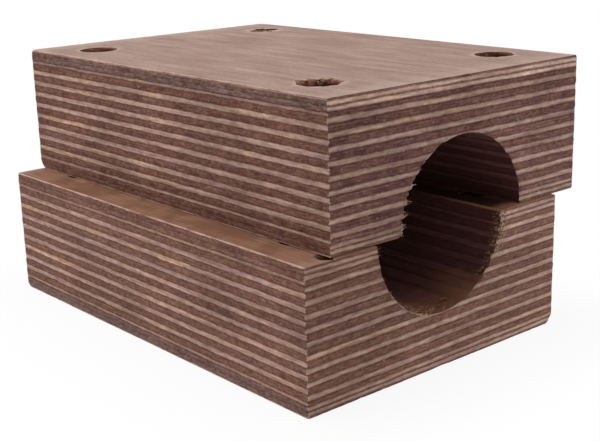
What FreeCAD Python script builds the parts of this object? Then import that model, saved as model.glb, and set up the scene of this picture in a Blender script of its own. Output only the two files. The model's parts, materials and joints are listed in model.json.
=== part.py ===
# Wooden bearing block in two loose halves, sawn and bored from cross-banded laminated beech.
# Each half has a half-round shaft groove along its joint face and four through bolt holes.
# The upper half lies on the lower one, slid to one side, so a ledge of the lower half shows.
# Millimetres: X across the block, Y along the shaft, +Z up, origin at the middle of the underside.

import FreeCAD, Part
import os

# Driving dimensions
block_width = 82.0
block_length = 122.0
veneer_thickness = 1.5
core_pairs = 8
band_veneer_thickness = 1.0
outer_veneer_thickness = 1.25
face_veneer_thickness = 0.4
bore_diameter = 40.0
bolt_hole_diameter = 10.0
bolt_spacing_across = 58.0
bolt_spacing_along = 90.0
slide_across = 8.0
slide_along = 1.0
arris_break = 0.5
edge_draw_back = 0.12
face_rub = 0.15
cut_overrun = 1.0

# A veneer's grain runs across the block or along it.
ACROSS = "across"
ALONG = "along"


def layup():
    """Grain and thickness of each veneer in one half, from the joint face to the outer face.

    A thin lengthwise face veneer, two crosswise ones and a lengthwise band close the stack on
    both faces, and the core between them alternates, starting and ending crosswise.
    """
    face = [
        (ALONG, face_veneer_thickness),
        (ACROSS, outer_veneer_thickness),
        (ACROSS, outer_veneer_thickness),
        (ALONG, band_veneer_thickness),
    ]
    core = [(ACROSS, veneer_thickness), (ALONG, veneer_thickness)] * core_pairs
    return face + core + [(ACROSS, veneer_thickness)] + face[::-1]


def veneer(grain, thickness, height, rub):
    """One sheet at its height in the stack.

    A sheet keeps its full size along its grain and draws back a little across it, which
    leaves the shallow steps down the sawn sides. Its four upright arrises are broken, and
    the two outermost sheets are also rubbed back all round.
    """
    width = block_width - 2 * rub
    length = block_length - 2 * rub
    if grain == ALONG:
        width -= 2 * edge_draw_back
    else:
        length -= 2 * edge_draw_back
    sheet = Part.makeBox(width, length, thickness, FreeCAD.Vector(-width / 2, -length / 2, height))
    corners = [edge for edge in sheet.Edges if abs(edge.tangentAt(edge.FirstParameter).z) > 0.5]
    return sheet.makeChamfer(arris_break, corners)


def laminated_stack():
    """The glued blank of one half, with its joint face at z = 0 and its outer face up."""
    sheets = []
    height = 0.0
    plies = layup()
    for place, (grain, thickness) in enumerate(plies):
        rub = face_rub if place in (0, len(plies) - 1) else 0.0
        sheets.append(veneer(grain, thickness, height, rub))
        height += thickness
    return sheets[0].multiFuse(sheets[1:]), height


def shaft_groove():
    """The shaft's bore on the joint plane, of which each half takes one half."""
    start = FreeCAD.Vector(0, -block_length / 2 - cut_overrun, 0)
    run = block_length + 2 * cut_overrun
    return Part.makeCylinder(bore_diameter / 2, run, start, FreeCAD.Vector(0, 1, 0))


def bolt_holes(height):
    """The four bolt holes, right through one half."""
    holes = []
    for side in (-1, 1):
        for end in (-1, 1):
            foot = FreeCAD.Vector(side * bolt_spacing_across / 2, end * bolt_spacing_along / 2, -cut_overrun)
            holes.append(Part.makeCylinder(bolt_hole_diameter / 2, height + 2 * cut_overrun, foot))
    return holes


def block_half():
    """One finished half on its joint face, and its height."""
    blank, height = laminated_stack()
    cut = blank.cut([shaft_groove()] + bolt_holes(height))
    return cut.Solids[0], height


half, half_height = block_half()

upper_half = half.copy()
upper_half.translate(FreeCAD.Vector(slide_across, slide_along, half_height))

# The lower half is the same piece turned over, with its groove facing up.
lower_half = half.copy()
lower_half.rotate(FreeCAD.Vector(0, 0, 0), FreeCAD.Vector(0, 1, 0), 180)
lower_half.translate(FreeCAD.Vector(0, 0, half_height))

os.makedirs("parts", exist_ok=True)
for name, solid in (("upper_half", upper_half), ("lower_half", lower_half)):
    solid.exportStep("parts/" + name + ".step")
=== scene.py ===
# Looks of the wooden bearing block: two loose halves of cross-banded laminated beech.
# Each half is one closed mesh with stepped veneers, worn arrises, a rough bored groove and torn
# hole rims, and splinters stand at its rims. Sizes come from the frame. What the frame doesn't
# hold is a named length in millimetres.

import json
import math
from dataclasses import dataclass

import bmesh
import bpy
import numpy as np
from mathutils import Euler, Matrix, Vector


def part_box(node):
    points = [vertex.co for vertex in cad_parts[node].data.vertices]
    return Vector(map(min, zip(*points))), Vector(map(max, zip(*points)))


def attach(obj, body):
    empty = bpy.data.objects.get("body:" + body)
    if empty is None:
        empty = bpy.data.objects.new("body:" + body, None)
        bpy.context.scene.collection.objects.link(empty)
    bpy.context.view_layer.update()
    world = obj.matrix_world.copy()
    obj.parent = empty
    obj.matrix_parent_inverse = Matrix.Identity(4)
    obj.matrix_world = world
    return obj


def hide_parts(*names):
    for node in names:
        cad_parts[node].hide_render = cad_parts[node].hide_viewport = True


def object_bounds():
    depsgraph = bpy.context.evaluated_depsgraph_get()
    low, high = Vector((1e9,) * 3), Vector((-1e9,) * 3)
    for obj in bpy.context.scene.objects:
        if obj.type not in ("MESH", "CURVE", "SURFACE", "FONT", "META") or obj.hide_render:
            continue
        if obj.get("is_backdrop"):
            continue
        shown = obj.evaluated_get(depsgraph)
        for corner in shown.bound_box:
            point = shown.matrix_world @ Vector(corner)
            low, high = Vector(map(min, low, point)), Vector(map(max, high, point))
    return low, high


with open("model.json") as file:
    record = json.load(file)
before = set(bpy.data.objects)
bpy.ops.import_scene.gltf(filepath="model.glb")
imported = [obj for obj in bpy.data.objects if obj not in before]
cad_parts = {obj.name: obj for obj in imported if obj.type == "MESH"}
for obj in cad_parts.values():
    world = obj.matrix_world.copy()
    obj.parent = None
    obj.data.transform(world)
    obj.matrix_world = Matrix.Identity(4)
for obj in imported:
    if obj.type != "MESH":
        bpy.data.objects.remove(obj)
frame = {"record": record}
cad_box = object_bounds()

MM = 0.001
TO_MM = (1 / MM, 1 / MM, 1 / MM)

# Sizes that the frame's mounts give
mount_sizes = {mount["name"]: mount["dims"] for mount in frame["record"]["mounts"]}
bore_radius = mount_sizes["upper_shaft_seat"]["r_mm"]
hole_radius = mount_sizes["upper_bolts"]["hole_r_mm"]
hole_across = mount_sizes["upper_bolts"]["spacing_x_mm"] / 2
hole_along = mount_sizes["upper_bolts"]["spacing_y_mm"] / 2

# The layup of a half: grain and thickness from a face inwards, then the core
ACROSS, ALONG = 0, 1
CORE_VENEER = 1.5
FACE_VENEERS = [(ALONG, 0.4), (ACROSS, 1.25), (ACROSS, 1.25), (ALONG, 1.0)]
CLOSING_VENEERS = slice(-3, -1)

# The grid of a half's outside: lines close to an arris, and the step between the others
ARRIS_LINES = (0.0, 0.07, 0.14, 0.2, 0.45, 0.9, 1.5, 2.3, 3.3)
GRID_STEP = 1.0
ROW_STEP = 0.6

# The sawn sides
ARRIS_RADIUS = 0.2
DRAW_BACK = 0.12
SAW_ERROR = 0.06
FIBRE_ROUGHNESS = 0.05
SLOW_FIBRES = 9.0
FINE_FIBRES = 0.9
SAW_CHIPS = 1.7
SAW_CHIP_LEVEL = 0.83
GLUE_WIDTH = 0.12
GLUE_DEPTH = 0.05
SIDE_REACH = 3.0
FACE_WAVES = (17.0, 23.0)
FACE_WAVE_DEPTH = 0.05

# Wear along the arrises and at the corners
ARRIS_WEAR = 0.12
ARRIS_WAVE = 5.0
ARRIS_CHIP = 1.3
ARRIS_CHIP_LEVEL = 0.78
CORNER_WEAR = 1.2
CORNER_POWER = 0.65
CORNER_HALVINGS = 14

# The bored groove and the drilled holes. A rim is frayed up to one height from the joint face, and
# hardly past another one.
CUT_OVERRUN = 2.0
GROOVE_OPENING = math.radians(8)
BORE_STEP = 0.8
BORE_ROUGHNESS = 0.2
DRILL_ROUGHNESS = 0.08
MARK_WIDTH = 2.1
FINE_MARK_WIDTH = 0.7
RIM_LINES = (0.0, 0.15, 0.4, 0.8, 1.4, 2.2)
FRAY_BACK = 0.9
FRAY_OUT = 0.6
CHIP_WIDTH = 1.3
TONGUE_WIDTH = 2.6
FRAY_HEIGHTS = (9.0, 18.0)
FRAY_LEFT = 0.3
RIM_WEAR = 0.6
PLY_STEP = 0.05
TEAR_REACH = 0.9
CRATER_WIDTH = 1.1
CRATER_REACH = 0.5
CRATER_LOBES = 6.0
CRATER_TURN = math.radians(50)
SKIN_LOBES = 7.0
SKIN_REACH = 0.4
LIP_REACH = 0.8
HOLE_SIDES = 120
BITE_SIDES = 24
BITE_RINGS = 14

# Loose fibres, and the degrees past which an edge of the wood or of a fibre is sharp
STRAND_SIDES = 5
STRAND_RINGS = 6
STRAND_TIP = 0.015
SHARP_EDGE = 38
SHARP_FIBRE = 60

# The hash that the noise draws its values from
HASH_PRIMES = (73856093, 19349663, 83492791)
HASH_FACTOR = 1274126177
HASH_TOP = 65535


@dataclass
class Wear:
    """What the photograph shows of one half's wear and some painted light, in the half's own axes.

    Corners, holes and rims are named by the signs of their places.
    """

    corners: dict  # worn lengths along x, y and s at a corner
    holes: dict  # how torn a hole's rim is, the skin over it, and its fibres: count, longest, thickest
    rims: dict  # how chipped and how fuzzy the groove's rim is, by its side and end
    bites: list  # centre and radii of each broken-out hollow
    tuft: tuple  # reach across of the tuft on the groove's bottom, and its fibres
    hairs: list  # place across, height and length of each fibre that sticks to the near end face
    fibre: tuple  # lighter and darker colour of the fibres at the rim
    rim_rub_and_light: float  # share of bare wood and painted highlight along the groove's rim, and of painted light at the land's ends
    end_tint: tuple  # tint of the dark plies on the end faces
    closing_light: tuple  # tint of the two crosswise veneers under the outer face, where they are light
    closing_dark: tuple  # and where they are dark
    hole_lip: float = 0.0  # how far swollen wood narrows the holes at the joint face
    groove_dust_and_light: float = 0.0  # share of dust and painted light on the groove's bottom near its ends
    rim_stain: float = 0.0  # share of brown stain on the end faces, right of the groove
    side_dust: float = 0.0  # share of dust on the dark plies


def layup(height):
    """Grain of each veneer in a half, and the heights of the veneers' faces from the joint face up."""
    closing = sum(thickness for _, thickness in FACE_VENEERS)
    pairs = round((height - 2 * closing - CORE_VENEER) / (2 * CORE_VENEER))
    core = [(ACROSS, CORE_VENEER), (ALONG, CORE_VENEER)] * pairs + [(ACROSS, CORE_VENEER)]
    plies = FACE_VENEERS + core + FACE_VENEERS[::-1]
    grain = np.array([grain for grain, _ in plies])
    edges = np.concatenate([[0.0], np.cumsum([thickness for _, thickness in plies])])
    return grain, edges


class Half:
    """One half in its own millimetres: x and y from its middle, s from its joint face into the wood.

    The lower half is turned over about the shaft's line, so there s runs down and x runs back.
    """

    def __init__(self, node, turn, seed, wear):
        low, high = (np.array(corner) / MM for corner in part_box(node))
        self.node = node
        self.turn = turn
        self.seed = seed
        self.wear = wear
        self.width, self.length, self.height = high - low
        self.middle = (low + high) / 2
        self.joint = low[2] if turn > 0 else high[2]
        self.grain, self.edges = layup(self.height)

    def to_frame(self, points):
        """The half's own points in the frame's metres."""
        x, y, s = np.asarray(points, float).T
        place = [self.middle[0] + self.turn * x, self.middle[1] + y, self.joint + self.turn * s]
        return np.stack(place, axis=1) * MM

    def veneer_at(self, s):
        """Which veneer lies at each height."""
        return np.clip(np.searchsorted(self.edges, s, side="right") - 1, 0, len(self.grain) - 1)


def noise(u, v, seed):
    """Smooth noise from 0 to 1 over two coordinates, one cell for each unit."""
    u, v = np.broadcast_arrays(np.asarray(u, float), np.asarray(v, float))
    cell_u = np.floor(u).astype(np.int64)
    cell_v = np.floor(v).astype(np.int64)
    part_u = u - cell_u
    part_v = v - cell_v
    part_u = part_u * part_u * (3 - 2 * part_u)
    part_v = part_v * part_v * (3 - 2 * part_v)
    prime_u, prime_v, prime_seed = HASH_PRIMES
    total = np.zeros(u.shape)
    for step_u in (0, 1):
        for step_v in (0, 1):
            key = (cell_u + step_u) * prime_u ^ (cell_v + step_v) * prime_v ^ seed * prime_seed
            key = (key ^ (key >> 13)) * HASH_FACTOR
            value = ((key ^ (key >> 16)) & HASH_TOP) / HASH_TOP
            share_u = part_u if step_u else 1 - part_u
            share_v = part_v if step_v else 1 - part_v
            total += share_u * share_v * value
    return total


def grid_lines(size):
    """Places across one side: close together at both arrises, and even between them."""
    margin = ARRIS_LINES[-1]
    count = round((size - 2 * margin) / GRID_STEP)
    inner = np.linspace(margin - size / 2, size / 2 - margin, count + 1)
    near = np.array(ARRIS_LINES[:-1]) - size / 2
    return np.concatenate([near, inner, -near[::-1]])


def veneer_rows(edges):
    """Heights of the rows up a side, with the veneers just below and just above each row."""
    rows = []
    last = len(edges) - 2
    for ply in range(last + 1):
        low, high = edges[ply], edges[ply + 1]
        rows.append((low, max(ply - 1, 0), ply))
        margin = min(GLUE_WIDTH, (high - low) / 3)
        count = 1 + max(1, round((high - low) / ROW_STEP))
        for s in np.linspace(low + margin, high - margin, count):
            rows.append((s, ply, ply))
    rows.append((edges[-1], last, last))
    heights, below, above = zip(*rows)
    return np.array(heights), np.array(below), np.array(above)


def side_inset(half, run, side, along, ply):
    """How far a veneer's edge lies behind the plane of a wall, which runs across or along the block.

    A veneer draws back where its grain runs along the wall. Each has its own saw error, and
    cut fibre ends are rougher than fibres that lie along the saw cut.
    """
    lies_along = half.grain[ply] == run
    key = half.seed + 11 * run + 5 * (side > 0)
    own = SAW_ERROR * noise(ply * 1.0, key, half.seed)
    slow = noise(along / SLOW_FIBRES, ply * 1.0, key + 1)
    fine = noise(along / FINE_FIBRES, ply * 1.0, key + 2)
    chip = np.clip(noise(along / SAW_CHIPS, ply * 1.0, key + 3) - SAW_CHIP_LEVEL, 0, None)
    rough = FIBRE_ROUGHNESS * np.where(lies_along, 0.5 * slow, 1.3 * (slow + fine))
    return np.where(lies_along, DRAW_BACK, 0.0) + own + rough + chip


def break_arrises(half, gap, along, sides):
    """Wears the arrises unevenly: gap holds each point's depth behind its three nearest faces."""
    for first, second, run in ((0, 2, 1), (1, 2, 0), (0, 1, 2)):
        key = half.seed + 31 * run + 3 * sides[:, first] + 7 * sides[:, second]
        line = along[:, run] / ARRIS_WAVE
        width = ARRIS_WEAR * (0.5 + noise(line, key, half.seed))
        chip = noise(line * 1.7, key + 0.5, half.seed + 9) - ARRIS_CHIP_LEVEL
        width += ARRIS_CHIP * np.clip(chip, 0, None)
        excess = np.clip(width - gap[:, first] - gap[:, second], 0, None)
        gap[:, first] += excess / 2
        gap[:, second] += excess / 2


def blunt_corners(half, gap, sides, ply):
    """Wears each corner back to a round that runs out into its three edges."""
    rng = np.random.default_rng(half.seed)
    for corner in np.ndindex(2, 2, 2):
        signs = tuple(2 * int(side) - 1 for side in corner)
        default = CORNER_WEAR * rng.uniform(0.6, 1.6, 3)
        here = (sides == signs).all(axis=1)
        ragged = 0.92 + 0.16 * noise(ply[here] * 1.0, 3.0 * sum(signs), half.seed + 6)
        sizes = np.array(half.wear.corners.get(signs, default)) * ragged[:, None]
        share = gap[here] / sizes
        too_little = np.zeros(len(share))
        enough = np.ones(len(share))
        for _ in range(CORNER_HALVINGS):
            push = (too_little + enough) / 2
            inside = ((share + push[:, None]) ** CORNER_POWER).sum(axis=1) < 1
            too_little = np.where(inside, push, too_little)
            enough = np.where(inside, enough, push)
        gap[here] += sizes * np.where(too_little > 0, enough, 0)[:, None]


def block_surface(half):
    """Points and faces of a half's outside before it is bored and drilled."""
    xs = grid_lines(half.width)
    ys = grid_lines(half.length)
    rows, below, above = veneer_rows(half.edges)
    shell = np.ones((len(xs), len(ys), len(rows)), bool)
    shell[1:-1, 1:-1, 1:-1] = False
    index = np.full(shell.shape, -1)
    index[shell] = np.arange(shell.sum())
    i, j, k = np.nonzero(shell)

    along = np.stack([xs[i], ys[j], rows[k]], axis=1)
    centre = np.array([0.0, 0.0, half.height / 2])
    extent = np.array([half.width, half.length, half.height]) / 2
    sides = np.where(along > centre, 1, -1)
    gap = extent - np.abs(along - centre)

    over = np.clip(ARRIS_RADIUS - gap, 0, None)
    reach = np.linalg.norm(over, axis=1, keepdims=True)
    gap = np.where(over > 0, ARRIS_RADIUS - over * ARRIS_RADIUS / reach, gap)

    glue = GLUE_DEPTH * (below[k] != above[k])
    for run in (ALONG, ACROSS):
        axis = 1 - run
        low = side_inset(half, run, sides[:, axis], along[:, run], below[k])
        high = side_inset(half, run, sides[:, axis], along[:, run], above[k])
        fade = np.clip(1 - gap[:, axis] / SIDE_REACH, 0, 1)
        gap[:, axis] += (np.maximum(low, high) + glue) * fade
    wave = noise(*(along[:, :2] / FACE_WAVES).T, half.seed + 4)
    gap[:, 2] += FACE_WAVE_DEPTH * wave * (gap[:, 2] < ARRIS_RADIUS)

    break_arrises(half, gap, along, sides)
    blunt_corners(half, gap, sides, above[k])
    points = centre + sides * (extent - gap)

    faces = []
    sheets = (
        (index[0], True), (index[-1], False),
        (index[:, 0], False), (index[:, -1], True),
        (index[:, :, 0], True), (index[:, :, -1], False),
    )
    for sheet, flip in sheets:
        quads = np.stack([sheet[:-1, :-1], sheet[1:, :-1], sheet[1:, 1:], sheet[:-1, 1:]], axis=-1)
        quads = quads.reshape(-1, 4)
        faces.append(quads[:, ::-1] if flip else quads)
    return points, np.concatenate(faces).tolist()


def tube(rings):
    """Points and faces of a closed tube through rings of points, with flat ends."""
    count, sides, _ = rings.shape
    index = np.arange(count * sides).reshape(count, sides)
    after = np.roll(index, -1, axis=1)
    quads = np.stack([index[:-1], after[:-1], after[1:], index[1:]], axis=-1).reshape(-1, 4)
    faces = quads.tolist() + [index[0, ::-1].tolist(), index[-1].tolist()]
    return rings.reshape(-1, 3), faces


def joined(parts):
    """Several meshes' points and faces as one."""
    points = []
    faces = []
    start = 0
    for part_points, part_faces in parts:
        points.append(part_points)
        faces += [[start + corner for corner in face] for face in part_faces]
        start += len(part_points)
    return np.concatenate(points), faces


def tool_marks(endness, ply, along, key):
    """How much too deep a tool cuts, for 1 mm of roughness: most in cut fibre ends."""
    rough = noise(along / MARK_WIDTH, ply * 1.0, key)
    rough += 0.5 * noise(along / FINE_MARK_WIDTH, ply * 1.0, key + 1)
    return rough * (0.25 + endness)


def groove_cutter(half):
    """The shaft bore's tool: a rough round bar along the joint face.

    Where it comes out of an end face, lengthwise veneers are chipped back and the fibres of
    crosswise ones stand out.
    """
    turn = np.arange(-GROOVE_OPENING, math.pi + GROOVE_OPENING, BORE_STEP / bore_radius)
    levels = half.edges[half.edges < bore_radius]
    middles = (levels[:-1] + levels[1:]) / 2
    heights = np.concatenate([levels[1:] - PLY_STEP, levels[1:] + PLY_STEP, middles])
    steps = np.arcsin(heights / bore_radius)
    angles = np.sort(np.concatenate([turn, steps, math.pi - steps]))[::-1]
    half_run = half.length / 2
    near = half_run - np.array((-CUT_OVERRUN,) + RIM_LINES)
    inner = np.linspace(-near[-1], near[-1], round(2 * near[-1] / (1.6 * BORE_STEP)) + 1)
    stations = np.concatenate([-near[:-1], inner, near[:-1][::-1]])

    angle, station = np.meshgrid(angles, stations)
    cos, sin = np.cos(angle), np.sin(angle)
    s = bore_radius * sin
    ply = half.veneer_at(s)
    within = (s - half.edges[ply]) / (half.edges[ply + 1] - half.edges[ply])
    point = np.clip(1 - np.abs(2 * within - 1), 0, 1)
    crosswise = half.grain[ply] == ACROSS
    endness = np.where(crosswise, np.abs(cos), 0.0)
    side = np.where(cos > 0, 1, -1)
    end = np.where(station > 0, 1, -1)
    own_ply = ply + 20 * (side + 1) + 40 * (end + 1)
    key = half.seed + 21
    marks = BORE_ROUGHNESS * tool_marks(endness, own_ply, station, key)

    fray = np.zeros(angle.shape)
    for (rim_side, rim_end), (chips, _) in half.wear.rims.items():
        fray[(side == rim_side) & (end == rim_end)] = chips
    fray *= np.interp(s, FRAY_HEIGHTS, (1.0, FRAY_LEFT))
    arc = bore_radius * angle
    chipped = FRAY_BACK * noise(arc / CHIP_WIDTH, own_ply * 1.0, key + 2)
    standing = -FRAY_OUT * (0.3 + noise(arc / TONGUE_WIDTH, own_ply * 1.0, key + 3)) * point * np.abs(cos)
    rim = np.clip(half_run - np.abs(station), 0, None)
    torn = fray * np.where(crosswise, standing, chipped) * np.exp(-rim / TEAR_REACH)
    worn = RIM_WEAR * np.clip(1 - np.abs(s) / RIM_WEAR, 0, None) ** 2
    radius = bore_radius + marks + torn + worn
    return tube(np.stack([radius * cos, station, radius * sin], axis=-1))


def hole_cutter(half, x, y, tear, skin):
    """One bolt hole's drill, which tears the outer face where it comes out and leaves a lip at the joint.

    Tongues of the torn face veneer reach over the hole along its grain, by up to the skin's length.
    """
    angles = np.linspace(0, 2 * math.pi, HOLE_SIDES, endpoint=False)
    rims = np.array((-CUT_OVERRUN,) + RIM_LINES)
    inner = half.edges[(half.edges > rims[-1]) & (half.edges < half.height - rims[-1])]
    heights = np.concatenate([rims, inner, half.height - rims[::-1]])
    angle, s = np.meshgrid(angles, heights)
    cos, sin = np.cos(angle), np.sin(angle)
    ply = half.veneer_at(s)
    endness = np.abs(np.where(half.grain[ply] == ACROSS, cos, sin))
    key = half.seed + 50 + round(x) + 3 * round(y)
    fold = np.abs(angle - math.pi) * hole_radius
    marks = DRILL_ROUGHNESS * tool_marks(endness, ply + 40 * (angle > math.pi), fold, key)
    torn = np.clip(noise(cos * CRATER_LOBES, sin * CRATER_LOBES, key + 2) - 0.3, 0, None)
    torn = torn * np.clip(0.35 + np.cos(angle - CRATER_TURN), 0.15, None)
    depth = np.clip(half.height - s, 0, None)
    radius = hole_radius + marks + tear * CRATER_WIDTH * torn * np.exp(-depth / CRATER_REACH)
    tongues = noise(cos * SKIN_LOBES, sin * SKIN_LOBES, key + 3) - 0.2
    tongues = np.clip(tongues, 0, None) * np.abs(sin)
    radius -= skin * tongues * np.exp(-depth / SKIN_REACH)
    radius -= half.wear.hole_lip * np.exp(-np.clip(s, 0, None) / LIP_REACH)
    return tube(np.stack([x + radius * cos, y + radius * sin, s], axis=-1))


def bite_cutter(half, centre, radii, key):
    """A broken-out hollow: an uneven lump."""
    steps = np.linspace(0.03, 0.97, BITE_RINGS) * math.pi
    angles = np.linspace(0, 2 * math.pi, BITE_SIDES, endpoint=False)
    angle, lift = np.meshgrid(angles, steps)
    lump = 0.8 + 0.4 * noise(np.cos(angle) * 2 + lift, np.sin(angle) * 2 + lift, half.seed + key)
    shape = np.stack([np.sin(lift) * np.cos(angle), np.cos(lift), np.sin(lift) * np.sin(angle)], axis=-1)
    return tube(np.array(centre) + np.array(radii) * shape * lump[..., None])


def mesh_from(name, points, faces, materials):
    """A mesh with its faces turned outwards."""
    mesh = bpy.data.meshes.new(name)
    for material in materials:
        mesh.materials.append(material)
    mesh.from_pydata(points, [], faces)
    work = bmesh.new()
    work.from_mesh(mesh)
    bmesh.ops.recalc_face_normals(work, faces=work.faces)
    work.to_mesh(mesh)
    work.free()
    return mesh


def linked(name, mesh):
    """A new object in the scene."""
    piece = bpy.data.objects.new(name, mesh)
    bpy.context.scene.collection.objects.link(piece)
    return piece


def smooth(mesh, sharp_degrees):
    """Smooth shading with edges kept sharp past an angle."""
    mesh.polygons.foreach_set("use_smooth", np.ones(len(mesh.polygons), bool))
    mesh.set_sharp_from_angle(angle=math.radians(sharp_degrees))


def take_out(body, tool, material_index):
    """Cuts a tool's shape out of a body, and gives the cut surface one of their materials."""
    faces = tool.data.polygons
    faces.foreach_set("material_index", np.full(len(faces), material_index, np.int32))
    cut = body.modifiers.new("cut", "BOOLEAN")
    cut.operation = "DIFFERENCE"
    cut.solver = "MANIFOLD"
    cut.object = tool
    graph = bpy.context.evaluated_depsgraph_get()
    mesh = bpy.data.meshes.new_from_object(body.evaluated_get(graph))
    body.modifiers.clear()
    body.data = mesh
    bpy.data.objects.remove(tool)


def carved_half(half, name, materials):
    """One half's finished mesh: its outside with the groove, bites and holes taken out.

    The materials are those of the sawn, the bored and the drilled surfaces.
    """
    body = linked(name, mesh_from(name, *block_surface(half), materials))
    oily = [groove_cutter(half)]
    for key, (centre, radii) in enumerate(half.wear.bites):
        oily.append(bite_cutter(half, centre, radii, key))
    drilled = []
    for (side, end), (tear, skin, _, _, _) in half.wear.holes.items():
        drilled.append(hole_cutter(half, side * hole_across, end * hole_along, tear, skin))
    for number, shapes in ((1, oily), (2, drilled)):
        tool = linked(name + "_tool", mesh_from(name + "_tool", *joined(shapes), materials))
        take_out(body, tool, number)
    mesh = body.data
    points = np.empty(len(mesh.vertices) * 3)
    mesh.vertices.foreach_get("co", points)
    mesh.vertices.foreach_set("co", half.to_frame(points.reshape(-1, 3)).ravel())
    mesh.update()
    smooth(mesh, SHARP_EDGE)
    return body


def srgb(red, green, blue):
    """A colour as a screen shows it, from 0 to 255, in the renderer's linear values."""
    levels = np.array([red, green, blue]) / 255
    linear = np.where(levels <= 0.04045, levels / 12.92, ((levels + 0.055) / 1.055) ** 2.4)
    return (*linear.tolist(), 1.0)


def grey(value):
    """One number as a colour."""
    return (value, value, value, 1.0)


class Graph:
    """Short words for building one tree of shader nodes."""

    def __init__(self, tree):
        self.tree = tree
        self.tree.nodes.clear()

    def add(self, kind, inputs=None, **settings):
        node = self.tree.nodes.new(kind)
        for key, value in settings.items():
            setattr(node, key, value)
        for key, value in (inputs or {}).items():
            self.feed(node.inputs[key], value)
        return node

    def feed(self, socket, value):
        if isinstance(value, bpy.types.NodeSocket):
            self.tree.links.new(value, socket)
        else:
            socket.default_value = value

    def math(self, operation, *values, clamp=False):
        node = self.add("ShaderNodeMath", dict(enumerate(values)), operation=operation, use_clamp=clamp)
        return node.outputs[0]

    def times(self, first, second):
        return self.math("MULTIPLY", first, second)

    def minus(self, first, second, clamp=False):
        return self.math("SUBTRACT", first, second, clamp=clamp)

    def vector(self, operation, *values):
        node = self.add("ShaderNodeVectorMath", dict(enumerate(values)), operation=operation)
        return node.outputs[0]

    def split(self, vector):
        return self.add("ShaderNodeSeparateXYZ", {0: vector}).outputs[:]

    def distance(self, u, v):
        """The length of a plane vector."""
        return self.math("SQRT", self.math("MULTIPLY_ADD", u, u, self.times(v, v)))

    def noise(self, vector, scale, detail=2.0, roughness=0.5):
        inputs = {"Vector": vector, "Scale": scale, "Detail": detail, "Roughness": roughness}
        return self.add("ShaderNodeTexNoise", inputs).outputs["Fac"]

    def span(self, value, low, high, to_low=0.0, to_high=1.0):
        """A smooth step: value from low to high becomes to_low to to_high."""
        node = self.add("ShaderNodeMapRange", interpolation_type="SMOOTHSTEP")
        for socket, number in zip(node.inputs, (value, low, high, to_low, to_high)):
            self.feed(socket, number)
        return node.outputs[0]

    def ramp(self, value, stops, interpolation="LINEAR"):
        node = self.add("ShaderNodeValToRGB", {"Fac": value})
        elements = node.color_ramp.elements
        elements.remove(elements[1])
        node.color_ramp.interpolation = interpolation
        elements[0].position, elements[0].color = stops[0]
        for position, colour in stops[1:]:
            elements.new(position).color = colour
        return node.outputs["Color"]

    def blend(self, amount, first, second, mode="MIX"):
        node = self.add("ShaderNodeMix", data_type="RGBA", blend_type=mode)
        sockets = {socket.identifier: socket for socket in (*node.inputs, *node.outputs)}
        for key, value in (("Factor_Float", amount), ("A_Color", first), ("B_Color", second)):
            self.feed(sockets[key], value)
        return sockets["Result_Color"]

    def tone(self, amount, share, first, second):
        """Blends towards second by share of amount."""
        return self.blend(self.times(amount, share), first, second)

    def close(self, kind, shader):
        self.feed(self.add(kind).inputs["Surface"], shader)

    def surface(self, colour, roughness, **more):
        inputs = {"Base Color": colour, "Roughness": roughness, "Specular IOR Level": SPECULAR, **more}
        shader = self.add("ShaderNodeBsdfPrincipled", inputs)
        self.close("ShaderNodeOutputMaterial", shader.outputs[0])


def new_material(name):
    """An empty material with nodes."""
    material = bpy.data.materials.new(name)
    material.use_nodes = True
    return material


# Colours of the sawn sides: long grain is light and end grain is dark; some are painted highlights and
# painted shade at the arrises and the groove's rim
LONG_GRAIN = [
    (0.35, srgb(174, 140, 130)), (0.45, srgb(181, 149, 136)),
    (0.55, srgb(185, 154, 137)), (0.65, srgb(195, 158, 132)),
]
LONG_STREAK = srgb(126, 95, 84)
END_GRAIN = [(0.35, srgb(96, 60, 55)), (0.5, srgb(115, 77, 64)), (0.65, srgb(116, 81, 65))]
END_STREAK = srgb(66, 39, 32)
END_FLECK = srgb(150, 115, 100)
END_DUST = srgb(160, 122, 104)
SEEP = srgb(104, 71, 59)
GLUE = srgb(66, 41, 35)
SKIN_TINT = (1.06, 0.98, 0.82)
SPECK = srgb(206, 178, 162)
# Bare wood and painted highlight on the worn arrises
RUB_AND_HIGHLIGHT = srgb(206, 175, 161)
# Painted highlight on the fuzz along the groove's rim
RIM_FUZZ_AND_HIGHLIGHT = srgb(190, 154, 134)
RIM_SHADE = srgb(70, 48, 40)
RIM_STAIN = [(0.4, srgb(64, 42, 31)), (0.5, srgb(108, 80, 64)), (0.6, srgb(172, 142, 118))]
TORN_WOOD = srgb(166, 130, 108)

# Colours of the faces: the clean outer one, and the joint face with its oil, painted shade and painted light
OUTER_FACE = [(0.25, srgb(156, 126, 115)), (0.5, srgb(176, 148, 137)), (0.75, srgb(192, 166, 154))]
OUTER_STREAK = srgb(146, 116, 104)
PORE = srgb(122, 89, 76)
TORN_FACE = srgb(206, 184, 171)
JOINT_FACE = srgb(158, 118, 96)
JOINT_STREAK = srgb(104, 69, 50)
JOINT_END = srgb(166, 133, 119)
# Painted shade and oil: the dark of the land beside the groove and of the broken-out hollows
SHADE_AND_OIL = srgb(38, 22, 17)
# Painted highlight on the worn rim of the groove
WORN_RIM_AND_HIGHLIGHT = srgb(196, 136, 100)
# Bare wood with painted light at the ends of the land, right of the groove
BARE_AND_LIT_END = [(0.4, srgb(96, 56, 40)), (0.6, srgb(168, 114, 84))]

# What oil leaves of the wood's colour in the groove, dust and painted light on its bottom, and the darker
# tone of the holes
OILED_WOOD = srgb(128, 93, 81)
BORED = srgb(180, 158, 170)
# Dust and painted light on the groove's bottom near its ends
GROOVE_DUST_AND_LIGHT = srgb(150, 104, 76)
DRILLED = srgb(204, 164, 140)

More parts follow.
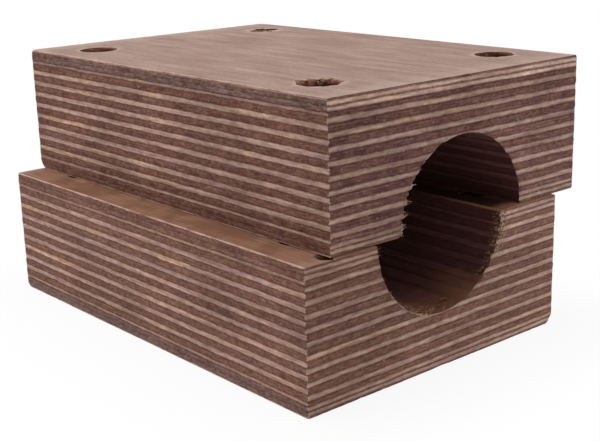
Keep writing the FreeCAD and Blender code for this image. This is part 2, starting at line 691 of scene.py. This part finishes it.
# Loose fibres, clean, dusty and oily: the lighter and the darker colour of each
LIGHT_FIBRE = (srgb(204, 172, 150), srgb(140, 102, 80))
DUSTY_FIBRE = (srgb(162, 120, 90), srgb(92, 60, 42))
OILY_FIBRE = (srgb(134, 98, 72), srgb(66, 42, 30))

# Surfaces: their roughness, how much they mirror, and the depth of their pores
DRY_ROUGHNESS = 0.68
OILY_ROUGHNESS = 0.5
STRAND_ROUGHNESS = 0.8
SPECULAR = 0.1
PORE_DEPTH = 0.12

# Between which shares of an axis in its normal a surface comes to face that axis
FACES_AXIS = (0.6, 0.9)

# Grain noise in cycles a millimetre: across the fibres, through the stack and along the fibres
FINE_GRAIN = (2.4, 1.4, 0.06)
BROAD_GRAIN = (0.3, 0.45, 0.045)
PORE_GRAIN = (5.0, 4.0, 0.4)
TICK_GRAIN = (0.6, 2.0, 0.1)
FLECK_GRAIN = (1.2, 1.2, 0.35)

# Other noises in cycles a millimetre along x, y and z: growth rings lie nearly flat in a peeled veneer,
# streaks run along the dark plies, and the press leaves each ply wavy by so many millimetres in all
GROWTH_RINGS = (0.05, 0.05, 1.7)
SAWN_STREAKS = (0.7, 0.7, 2.4)
PRESSED_PLIES = (0.14, 0.14, 0.6)
PRESSED_WAVE = 0.5

# How far glue seeps into lengthwise and into crosswise veneers, as a share of a core veneer, and how
# much of it soaks the thin lengthwise veneers that lie less than a depth below the faces
LONG_SEEP = 0.24
CROSS_SEEP = 0.36
SOAK_DEPTH = 4.4
SOAK = 0.26


def veneer_stops(half):
    """Ramps over the depth from the nearest face: grain of the veneers, and distance from glue lines.

    The layup is symmetric, so the depth is a share of half the stack. The distance from a glue line
    is a share of a core veneer. The face veneer has glue on one side.
    """
    middle = half.height / 2
    skin = half.edges[1]
    grain_stops = []
    glue_stops = [(0.0, grey(1.0)), (0.6 * skin / middle, grey(0.5))]
    for ply, (low, high) in enumerate(zip(half.edges[:-1], half.edges[1:])):
        if low >= middle:
            break
        grain_stops.append((low / middle, grey(float(half.grain[ply]))))
        if ply > 0:
            glue_stops.append((low / middle, grey(0.0)))
            glue_stops.append((min((low + high) / 2, middle) / middle, grey((high - low) / 2 / CORE_VENEER)))
    return grain_stops, glue_stops


def tint_stops(half, closing):
    """A tint for each veneer over the height of the stack, times one of the closing veneers."""
    rng = np.random.default_rng(half.seed + 70)
    light = rng.uniform(0.93, 1.07, len(half.grain))
    blue = light * rng.uniform(0.96, 1.04, len(half.grain))
    tints = np.stack([light, light, blue], axis=1)
    tints[CLOSING_VENEERS] *= closing
    tints[[0, -1]] = SKIN_TINT
    return [(low / half.height, (*tint, 1.0)) for low, tint in zip(half.edges, tints.tolist())]


class Laminate(Graph):
    """The wood of one half: light long grain and dark end grain by turns, with glue lines between.

    Its fields are sockets that say where a point lies in the half and how the grain runs there.
    """

    def __init__(self, half, tree):
        super().__init__(tree)
        self.half = half
        place = self.add("ShaderNodeTexCoord")
        point = self.vector("MULTIPLY", place.outputs["Object"], TO_MM)
        facing = self.vector("ABSOLUTE", place.outputs["Normal"])
        self.facing_x, self.facing_y, self.facing_z = self.split(facing)
        self.own_point = self.vector("ADD", point, (17.0 * half.seed, 31.0 * half.seed, 0.0))
        self.set_place(point)
        self.set_grain()

    def loose(self, field, cycles, wander):
        """A field of distances that wanders by so many millimetres in all."""
        noise = self.noise(self.own_point, cycles, 1.0)
        return self.math("ADD", field, self.math("MULTIPLY_ADD", noise, wander, -wander / 2))

    def ragged(self, field, start, full, *ends, cycles, wander):
        """A smooth step with a ragged border: wear that starts at one distance and is full at another."""
        return self.span(self.loose(field, cycles, wander), start, full, *ends)

    def set_place(self, point):
        """Distances in millimetres from the joint face, the walls, the groove and the nearest hole."""
        half = self.half
        x, y, z = self.split(self.vector("SUBTRACT", point, (half.middle[0], half.middle[1], half.joint)))
        self.stack = self.times(z, half.turn)
        self.on_right = self.span(x, -5.0, 5.0)
        self.across = self.math("ABSOLUTE", x)
        along = self.math("ABSOLUTE", y)
        self.wall_gap = self.minus(half.width / 2, self.across)
        self.end_gap = self.minus(half.length / 2, along)
        self.rim_gap = self.minus(self.distance(x, self.stack), bore_radius)
        aside = self.minus(self.across, hole_across)
        ahead = self.minus(along, hole_along)
        self.hole_gap = self.minus(self.distance(aside, ahead), hole_radius)

    def set_grain(self):
        """The veneer at a point, its glue lines and its grain noises."""
        middle = self.half.height / 2
        pressed = self.stretched(PRESSED_PLIES, 2.0, 0.5)
        level = self.math("MULTIPLY_ADD", pressed, PRESSED_WAVE, self.stack)
        level = self.loose(self.minus(level, PRESSED_WAVE / 2), 1.1, 0.22)
        from_middle = self.math("ABSOLUTE", self.minus(level, middle))
        self.depth = self.minus(middle, from_middle)
        depth_share = self.math("DIVIDE", self.depth, middle, clamp=True)
        grain_stops, glue_stops = veneer_stops(self.half)
        self.lengthwise = self.ramp(depth_share, grain_stops, "CONSTANT")
        self.glue_gap = self.loose(self.ramp(depth_share, glue_stops), 1.3, 0.12)
        level_share = self.math("DIVIDE", level, self.half.height)
        self.endness = self.span(self.blend(self.lengthwise, self.facing_x, self.facing_y), 0.45, 0.8)
        tints = []
        for closing in (self.half.wear.closing_light, self.half.wear.closing_dark):
            tints.append(self.ramp(level_share, tint_stops(self.half, closing), "CONSTANT"))
        self.tint = self.blend(self.endness, *tints)
        self.fine = self.span(self.grained(FINE_GRAIN, 3.0, 0.6), 0.3, 0.7)
        self.broad = self.grained(BROAD_GRAIN, 2.0, 0.5)
        self.pores = self.span(self.grained(PORE_GRAIN, 1.0, 0.5), 0.6, 0.72)
        self.ticks = self.span(self.grained(TICK_GRAIN, 3.0, 0.65), 0.45, 0.65)
        self.rings = self.span(self.stretched(GROWTH_RINGS, 3.0, 0.6), 0.48, 0.66)

    def stretched(self, cycles, detail, roughness):
        """Noise with its own cycles a millimetre along x, y and z."""
        return self.noise(self.vector("MULTIPLY", self.own_point, cycles), 1.0, detail, roughness)

    def grained(self, cycles, detail, roughness):
        """Noise that is stretched along the fibres of the veneer at a point."""
        across, up, along = cycles
        stretch = self.blend(self.lengthwise, (along, across, up, 1.0), (across, along, up, 1.0))
        return self.stretched(stretch, detail, roughness)

    def side_colour(self):
        """Sawn edges of the veneers, with glue that has seeped into the light ones."""
        light = self.tone(self.fine, 0.62, self.ramp(self.broad, LONG_GRAIN), LONG_STREAK)
        seep_width = self.math("MULTIPLY_ADD", self.lengthwise, LONG_SEEP - CROSS_SEEP, CROSS_SEEP)
        light = self.tone(self.span(self.glue_gap, seep_width, 0.04), 0.85, light, SEEP)
        near_face = self.math("LESS_THAN", self.depth, SOAK_DEPTH)
        light = self.tone(self.times(self.lengthwise, near_face), SOAK, light, SEEP)
        light = self.uneven(light, self.grained(FLECK_GRAIN, 3.0, 0.65), 0.24)
        dark = self.tone(self.ticks, 0.55, self.ramp(self.broad, END_GRAIN), END_STREAK)
        dark = self.tone(self.rings, 0.25, dark, END_FLECK)
        dark = self.tone(self.pores, 0.3, dark, END_FLECK)
        dark = self.blend(self.half.wear.side_dust, dark, END_DUST)
        dark = self.uneven(dark, self.stretched(SAWN_STREAKS, 3.0, 0.65), 0.36)
        dark = self.blend(self.span(self.facing_y, *FACES_AXIS), dark, self.half.wear.end_tint, "MULTIPLY")
        side = self.blend(self.endness, light, dark)
        seam = self.span(self.noise(self.own_point, 0.7, 3.0), 0.4, 0.6, 0.1, 0.6)
        side = self.tone(self.span(self.glue_gap, 0.13, 0.02), seam, side, GLUE)
        side = self.blend(1.0, side, self.tint, "MULTIPLY")
        side = self.uneven(side, self.noise(self.own_point, 0.045, 2.0), 0.12)
        specks = self.span(self.noise(self.own_point, 1.7, 1.0), 0.69, 0.78)
        return self.tone(specks, 0.35, side, SPECK)

    def uneven(self, wood, noise, amount):
        """A colour made lighter and darker by a noise, by up to an amount."""
        return self.blend(1.0, wood, self.span(noise, 0.3, 0.7, 1.0 - amount, 1.0 + amount), "MULTIPLY")

    def outer_colour(self):
        """The clean outer face, with fibres torn up round the holes."""
        face = self.tone(self.fine, 0.6, self.ramp(self.broad, OUTER_FACE), OUTER_STREAK)
        face = self.tone(self.pores, 0.5, face, PORE)
        face = self.uneven(face, self.noise(self.own_point, 1.2, 3.0, 0.65), 0.1)
        torn = self.ragged(self.hole_gap, 1.8, -0.6, cycles=0.45, wander=6.0)
        face = self.tone(torn, 0.6, face, TORN_FACE)
        handled = self.ragged(self.end_gap, 9.0, 0.0, cycles=0.25, wander=8.0)
        return self.tone(handled, 0.35, face, TORN_FACE)

    def joint_colour(self):
        """The joint face: patchy, lighter at its ends, with painted shade and oil beside the groove, bare
        wood with painted light at the land's ends right of the groove, and a painted highlight on the
        groove's worn rim.
        """
        face = self.tone(self.fine, 0.5, JOINT_FACE, JOINT_STREAK)
        patch = self.noise(self.own_point, 0.09, 5.0, 0.6)
        face = self.tone(self.span(patch, 0.4, 0.62), 0.55, face, JOINT_STREAK)
        near_end = self.ragged(self.end_gap, 5.0, 1.0, cycles=0.3, wander=4.0)
        face = self.tone(near_end, 0.6, face, JOINT_END)
        # Painted shade and oil darken the land beside the groove, but not near its ends
        land = self.ragged(self.across, 30.0, 25.0, cycles=0.15, wander=4.0)
        face = self.tone(self.minus(land, near_end, clamp=True), 0.9, face, SHADE_AND_OIL)
        # Bare wood and painted light at the land's ends, right of the groove
        lit_bare_end = self.times(self.times(land, near_end), self.on_right)
        face = self.tone(lit_bare_end, self.half.wear.rim_rub_and_light, face, self.ramp(patch, BARE_AND_LIT_END))
        land_gap = self.minus(self.across, bore_radius)
        return self.lit_worn_rim(face, self.ragged(land_gap, 1.1, 0.3, cycles=0.8, wander=0.8))

    def lit_worn_rim(self, wood, worn):
        """Bare wood with a painted highlight along the groove's rim, most near the ends."""
        worn = self.times(worn, self.span(self.end_gap, 28.0, 6.0, 0.03, 1.0))
        return self.tone(worn, self.half.wear.rim_rub_and_light, wood, WORN_RIM_AND_HIGHLIGHT)

    def edge_light_and_wear(self, wood):
        """Bare wood and painted highlights on worn long arrises and chipped upright ones, painted shade and
        a painted highlight on fibre along the groove's rim, and stain right of the groove.
        """
        arris = self.math("ADD", self.wall_gap, self.depth)
        # Bare wood and painted highlights on the long arrises and on the upright ones
        wood = self.tone(self.ragged(arris, 0.6, 0.25, cycles=0.5, wander=0.3), 0.75, wood, RUB_AND_HIGHLIGHT)
        upright = self.math("ADD", self.wall_gap, self.end_gap)
        wood = self.tone(self.ragged(upright, 0.5, 0.0, cycles=1.4, wander=1.8), 0.65, wood, RUB_AND_HIGHLIGHT)
        on_end = self.span(self.facing_y, *FACES_AXIS)
        rim = self.times(on_end, self.ragged(self.rim_gap, 1.3, 0.1, cycles=0.6, wander=1.2))
        wood = self.tone(rim, 0.25, wood, RIM_SHADE)
        # Painted highlight on the fuzz along the groove's rim, left of the groove and higher up
        rim_highlight = self.ragged(self.rim_gap, 0.4, 0.1, cycles=0.8, wander=0.6)
        rim_highlight = self.times(rim_highlight, self.span(self.stack, 7.0, 10.0))
        rim_highlight = self.minus(self.times(on_end, rim_highlight), self.on_right, clamp=True)
        wood = self.tone(rim_highlight, 0.7, wood, RIM_FUZZ_AND_HIGHLIGHT)
        stain = self.ragged(self.rim_gap, 3.6, 0.8, cycles=1.1, wander=3.4)
        return self.stained(wood, self.times(on_end, stain))

    def stained(self, wood, amount):
        """Oil and fuzz in specks near the joint face, right of the groove."""
        mottled = self.ramp(self.noise(self.own_point, 1.9, 1.0), RIM_STAIN)
        amount = self.times(amount, self.span(self.stack, 13.0, 8.0))
        amount = self.times(amount, self.on_right)
        return self.tone(amount, self.half.wear.rim_stain, wood, mottled)

    def finish(self, wood, roughness):
        """The surface: matt, with the pores and glue lines sunk a little."""
        height = self.math("MULTIPLY_ADD", self.pores, -0.6, self.times(self.fine, -0.5))
        height = self.math("MULTIPLY_ADD", self.times(self.ticks, self.endness), -0.6, height)
        height = self.math("MULTIPLY_ADD", self.span(self.glue_gap, 0.12, 0.0), -0.4, height)
        bump = self.add("ShaderNodeBump", {"Strength": 0.6, "Distance": PORE_DEPTH * MM, "Height": height})
        uneven = self.math("MULTIPLY_ADD", self.fine, 0.12, roughness)
        self.surface(wood, uneven, Normal=bump.outputs[0])


def sawn_wood(g):
    """The outside of a half: its sides, its outer face and its joint face."""
    face = g.blend(g.span(g.stack, 1.0, g.half.height - 1.0), g.joint_colour(), g.outer_colour())
    on_face = g.times(g.span(g.facing_z, *FACES_AXIS), g.span(g.depth, 0.8, 0.5))
    g.finish(g.edge_light_and_wear(g.blend(on_face, g.side_colour(), face)), DRY_ROUGHNESS)


def bored_wood(g):
    """The groove: oil has evened its plies out, dust and painted light lie near its ends, and its rims are
    worn with a painted highlight.

    The hollows beside it are dark with oil and painted shade.
    """
    wood = g.blend(1.0, g.blend(0.5, g.side_colour(), OILED_WOOD), BORED, "MULTIPLY")
    # Dust and painted light on the groove's bottom near its ends
    lit_dust = g.ragged(g.end_gap, 18.0, 2.0, cycles=0.2, wander=10.0)
    lit_dust = g.times(lit_dust, g.ragged(g.stack, 13.0, 18.0, cycles=0.3, wander=4.0))
    wood = g.tone(lit_dust, g.half.wear.groove_dust_and_light, wood, GROOVE_DUST_AND_LIGHT)
    wood = g.stained(wood, g.ragged(g.end_gap, 2.8, 0.2, 0.0, 0.6, cycles=1.1, wander=2.4))
    wood = g.lit_worn_rim(wood, g.ragged(g.stack, 0.7, 0.2, cycles=0.6, wander=0.5))
    # Painted shade and oil in the broken-out hollows beside the groove
    beside = g.ragged(g.across, 35.2, 33.6, cycles=0.8, wander=1.0)
    beside = g.times(g.span(g.across, 24.0, 25.0), beside)
    beside = g.times(beside, g.ragged(g.end_gap, 5.0, 3.4, 0.7, 1.0, cycles=0.8, wander=1.0))
    g.finish(g.tone(beside, 0.9, wood, SHADE_AND_OIL), OILY_ROUGHNESS)


def drilled_wood(g):
    """A bolt hole, darker than the sawn sides, with torn fibre under its rim."""
    wood = g.blend(1.0, g.side_colour(), DRILLED, "MULTIPLY")
    under_rim = g.minus(g.half.height, g.stack)
    torn = g.ragged(under_rim, 1.1, 0.1, cycles=0.9, wander=0.8)
    g.finish(g.tone(torn, 0.55, wood, TORN_WOOD), DRY_ROUGHNESS)


def torn_fibre(name, light, dark):
    """Loose wood fibre, lighter and darker from strand to strand."""
    material = new_material(name)
    g = Graph(material.node_tree)
    place = g.add("ShaderNodeTexCoord")
    point = g.vector("MULTIPLY", place.outputs["Object"], TO_MM)
    patch = g.span(g.noise(point, 0.9, 2.0), 0.35, 0.65)
    g.surface(g.blend(patch, light, dark), STRAND_ROUGHNESS)
    return material


def strand(root, direction, length, thickness, curl):
    """A tapered splinter: rings along a bent line."""
    direction = np.array(direction) / np.linalg.norm(direction)
    aside = np.cross(direction, (0.31, 0.53, 0.79))
    aside /= np.linalg.norm(aside)
    upright = np.cross(direction, aside)
    angles = np.linspace(0, 2 * math.pi, STRAND_SIDES, endpoint=False)
    rings = []
    for share in np.linspace(0, 1, STRAND_RINGS):
        centre = np.array(root) + direction * length * share + np.array(curl) * share ** 2
        radius = thickness * (1 - share) ** 0.8 + STRAND_TIP
        ring = np.outer(np.cos(angles), aside) + 0.6 * np.outer(np.sin(angles), upright)
        rings.append(centre + radius * ring)
    return tube(np.array(rings))


def groove_strands(half, rng):
    """Fuzz at the groove's rims: crosswise veneers end there in loose fibres, most of them short."""
    for (side, end), (chips, fuzz) in half.wear.rims.items():
        for ply in np.nonzero(half.grain == ACROSS)[0]:
            low, high = half.edges[ply], half.edges[ply + 1]
            if high > 0.85 * bore_radius:
                continue
            here = fuzz * np.interp(high, FRAY_HEIGHTS, (1.0, FRAY_LEFT))
            for _ in range(round(rng.uniform(5.0, 9.0) * here)):
                s = rng.uniform(low, high)
                x = math.sqrt(bore_radius ** 2 - s ** 2) + 0.45 - 0.3 * chips
                root = (side * x, end * (half.length / 2 - rng.uniform(0.3, 1.2)), s)
                direction = (-side, end * rng.uniform(-0.2, 0.12), rng.uniform(-0.6, 0.6))
                curl = rng.uniform(-0.5, 0.5, 3) * (1, 0.2, 1)
                length = 0.9 + 0.7 * rng.random() + 1.2 * rng.random() ** 4
                yield strand(root, direction, length, rng.uniform(0.08, 0.26), curl)


def tuft_strands(half, rng):
    """Crosswise fibres that the bore has lifted off the bottom of the groove's near end."""
    reach, count = half.wear.tuft
    for _ in range(count):
        x = rng.uniform(*reach)
        root = (x, -half.length / 2 + rng.uniform(0.4, 5.0), math.sqrt(bore_radius ** 2 - x ** 2) + 0.1)
        direction = (rng.choice((-1, 1)), rng.uniform(0.0, 0.6), rng.uniform(-0.5, -0.05))
        curl = rng.uniform(-0.8, 0.8, 3) * (1, 0.2, 0.5)
        yield strand(root, direction, rng.uniform(0.8, 2.4), rng.uniform(0.05, 0.12), curl)


def rim_fluff(half, rng):
    """Fibres of the tuft on the near end face: fewer and shorter the farther up the groove's rim."""
    (_, reach), count = half.wear.tuft
    for _ in range(count // 3):
        x = (0.4 + 1.35 * rng.random() ** 2) * reach
        s = math.sqrt(bore_radius ** 2 - x ** 2) + rng.uniform(-0.2, 0.5)
        root = (x, -half.length / 2 + 0.13, s)
        direction = (rng.uniform(-1, 1), 0, rng.uniform(-0.8, 0.8))
        short = min(1.0, reach / x) ** 2
        curl = short * rng.uniform(-0.5, 0.5, 3) * (1, 0, 1)
        length = short * rng.uniform(0.5, 1.8)
        yield strand(root, direction, length, rng.uniform(0.05, 0.09), curl)


def hole_strands(half, rng):
    """Fibres left standing at the rims of the holes in the outer face.

    They run along the block in the face veneer, and across it in the veneer below.
    """
    for (side, end), (_, _, count, longest, thickest) in half.wear.holes.items():
        middle = np.array([side * hole_across, end * hole_along, half.height])
        for _ in range(count):
            turn = rng.uniform(0, 2 * math.pi)
            thickness = rng.uniform(0.4, 1.0) * thickest
            depth = thickness + rng.uniform(0.05, 0.45)
            out = np.array([math.cos(turn), math.sin(turn), 0.0])
            fibre_axis = (0.0, 1.0, 0.0) if depth < FACE_VENEERS[0][1] else (1.0, 0.0, 0.0)
            root = middle + out * (hole_radius + 0.4) - (0.0, 0.0, depth)
            lean = rng.uniform((-0.4, -0.4, -0.08), (0.4, 0.4, 0.0))
            direction = -np.sign(out) * fibre_axis + lean
            length = rng.uniform(0.7, longest)
            curl = rng.uniform(-0.4, 0.0, 3)
            yield strand(root, direction, length, thickness, curl)


def face_hairs(half):
    """Single fibres that stick to the near end face."""
    for x, s, length in half.wear.hairs:
        root = (x, -half.length / 2 + 0.1, s)
        yield strand(root, (0.15, 0, 1), length, 0.1, (0.25 * length, 0, 0))


def splinters(half, name, strands, material):
    """Loose fibres as one piece."""
    points, faces = joined(strands)
    mesh = mesh_from(name, half.to_frame(points), faces, [material])
    smooth(mesh, SHARP_FIBRE)
    return linked(name, mesh)


def dress(half, name):
    """One half's pieces: its carved block, which stands for the frame's node, and its splinters."""
    materials = []
    for ending, wood in (("_sawn", sawn_wood), ("_bored", bored_wood), ("_drilled", drilled_wood)):
        material = new_material(name + ending)
        wood(Laminate(half, material.node_tree))
        materials.append(material)
    block = carved_half(half, name, materials)
    rng = np.random.default_rng(half.seed + 90)
    on_rim = list(groove_strands(half, rng))
    on_bottom = list(tuft_strands(half, rng))
    on_face = [*rim_fluff(half, rng), *hole_strands(half, rng), *face_hairs(half)]
    pieces = [
        block,
        splinters(half, name + "_rim_fibres", on_rim, torn_fibre(name + "_rim_fibre", *half.wear.fibre)),
        splinters(half, name + "_tuft", on_bottom, torn_fibre(name + "_tuft", *DUSTY_FIBRE)),
        splinters(half, name + "_face_fibres", on_face, torn_fibre(name + "_face_fibre", *LIGHT_FIBRE)),
    ]
    for piece in pieces:
        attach(piece, "root")
    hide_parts(half.node)


upper_wear = Wear(
    corners={(-1, 1, -1): (3.4, 3.4, 4.2), (-1, 1, 1): (2.2, 2.2, 2.2), (-1, -1, 1): (1.0, 1.0, 1.0)},
    holes={
        (-1, -1): (3.6, 0.7, 24, 1.6, 0.15), (-1, 1): (0.25, 0.0, 6, 1.5, 0.15),
        (1, -1): (0.15, 1.5, 8, 1.2, 0.15), (1, 1): (0.3, 5.0, 150, 6.0, 0.4),
    },
    rims={(-1, -1): (1.3, 0.9), (1, -1): (0.3, 0.0), (-1, 1): (0.6, 0.6), (1, 1): (0.6, 0.6)},
    bites=[],
    tuft=((-3.0, 6.0), 6),
    hairs=[(9.9, 28.4, 1.6), (17.4, 28.8, 0.9), (18.8, 19.8, 1.6)],
    fibre=LIGHT_FIBRE,
    rim_rub_and_light=0.1,
    end_tint=(1.1, 1.08, 1.28, 1.0),
    closing_light=(1.67, 1.76, 1.82),
    closing_dark=(1.12, 1.39, 1.58),
)
lower_wear = Wear(
    corners={(1, 1, 1): (2.6, 2.6, 2.6), (-1, -1, 1): (3.6, 3.6, 4.2), (-1, -1, -1): (1.2, 1.2, 1.0)},
    holes={(side, end): (0.3, 0.0, 6, 1.5, 0.15) for side in (-1, 1) for end in (-1, 1)},
    rims={(1, -1): (0.3, 0.3), (-1, -1): (1.1, 3.0), (1, 1): (0.6, 0.6), (-1, 1): (0.6, 0.6)},
    bites=[((33.2, -58.2, 0.0), (1.8, 2.4, 0.7))],
    tuft=((-7.0, 10.0), 110),
    hairs=[(18.6, 26.1, 2.1), (14.5, 19.4, 1.0)],
    fibre=OILY_FIBRE,
    rim_rub_and_light=0.8,
    end_tint=(0.98, 0.97, 0.95, 1.0),
    closing_light=(1.07, 1.07, 1.06),
    closing_dark=(0.99, 1.2, 1.39),
    hole_lip=0.7,
    groove_dust_and_light=0.75,
    rim_stain=0.8,
    side_dust=0.14,
)
dress(Half("upper_half", 1, 3, upper_wear), "dressed_upper")
dress(Half("lower_half", -1, 5, lower_wear), "dressed_lower")

# Stage
FLOOR_SIZE = 6.0
FLOOR_DROP = 0.00002
FLOOR_COLOUR = srgb(242, 242, 242)
SHADOW_SHARE = 0.1
SHADOW_REACH = 0.04
SKY_STRENGTH = 0.4


def seen_directly(g):
    """1 for rays that show the background: from the camera, or mirrored or let through."""
    path = g.add("ShaderNodeLightPath").outputs
    seen = g.math("MAXIMUM", path["Is Camera Ray"], path["Is Glossy Ray"])
    return g.math("MAXIMUM", seen, path["Is Transmission Ray"])


def floor():
    """A pale floor that shows as the white background and keeps a soft shadow round the block."""
    reach = FLOOR_SIZE / 2
    corners = [(-reach, -reach), (reach, -reach), (reach, reach), (-reach, reach)]
    points = [(x, y, -FLOOR_DROP) for x, y in corners]
    material = new_material("floor")
    piece = linked("floor", mesh_from("floor", points, [(0, 1, 2, 3)], [material]))
    g = Graph(material.node_tree)
    matt = g.add("ShaderNodeBsdfDiffuse", {"Color": FLOOR_COLOUR})
    white = g.add("ShaderNodeEmission", {"Color": grey(1.0), "Strength": 1.0})
    low, high = np.array(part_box("lower_half"))
    place = g.add("ShaderNodeTexCoord").outputs["Object"]
    outside = g.vector("SUBTRACT", g.vector("ABSOLUTE", place), tuple((high - low) / 2))
    past_side, past_end, _ = g.split(outside)
    under_block = g.math("LESS_THAN", g.math("MAXIMUM", past_side, past_end), -MM)
    aside, ahead, _ = g.split(g.vector("MAXIMUM", outside, (0.0, 0.0, 0.0)))
    shade = g.span(g.distance(aside, ahead), 0.0, SHADOW_REACH, SHADOW_SHARE, 0.0)
    shade = g.math("MAXIMUM", shade, under_block)
    share = g.times(seen_directly(g), g.minus(1.0, shade))
    mix = g.add("ShaderNodeMixShader", {0: share, 1: matt.outputs[0], 2: white.outputs[0]})
    g.close("ShaderNodeOutputMaterial", mix.outputs[0])
    piece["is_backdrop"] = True


def sky():
    """White where it is seen, and a plain soft light everywhere else."""
    world = bpy.data.worlds.new("sky")
    bpy.context.scene.world = world
    world.use_nodes = True
    g = Graph(world.node_tree)
    strength = g.math("MULTIPLY_ADD", seen_directly(g), 1.0 - SKY_STRENGTH, SKY_STRENGTH)
    light = g.add("ShaderNodeBackground", {"Color": grey(1.0), "Strength": strength})
    g.close("ShaderNodeOutputWorld", light.outputs[0])


FRONT_LIGHT = (0.92, 0.97, 1.0)


def softbox(name, place, aim, size, power, spread=180.0, colour=(1.0, 1.0, 1.0)):
    """A square lamp that looks at a point, with its beam's spread in degrees."""
    lamp = bpy.data.lights.new(name, "AREA")
    lamp.size = size
    lamp.energy = power
    lamp.spread = math.radians(spread)
    lamp.color = colour
    piece = linked(name, lamp)
    piece.location = place
    piece.rotation_euler = (Vector(aim) - Vector(place)).to_track_quat("-Z", "Y").to_euler()


# The camera as it was worked out from the photograph: metres and degrees
CAMERA_PLACE = (-0.18275, -0.22658, 0.10459)
CAMERA_TURN = (74.295, 1.50, -40.83)
CAMERA_LENS = 68.56


def camera():
    """The photograph's point of view."""
    data = bpy.data.cameras.new("camera")
    data.lens = CAMERA_LENS
    data.clip_start = 0.01
    piece = linked("camera", data)
    piece.location = CAMERA_PLACE
    piece.rotation_euler = Euler([math.radians(angle) for angle in CAMERA_TURN])
    bpy.context.scene.camera = piece


floor()
sky()
softbox("key_lamp", (-0.25, 0.25, 0.85), (0.0, 0.0, 0.03), 0.8, 5.2)
softbox("side_lamp", (-0.36, 0.36, 0.2), (0.0, 0.0, 0.03), 0.36, 0.72)
softbox("front_lamp", (0.25, -0.32, 0.06), (0.06, -0.06, -0.02), 0.12, 0.06, 44.0, FRONT_LIGHT)
camera()
bpy.context.scene.view_settings.view_transform = "Standard"

boxes = {"cad": cad_box, "visual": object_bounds()}
{name: [list(corner) for corner in box] for name, box in boxes.items()}
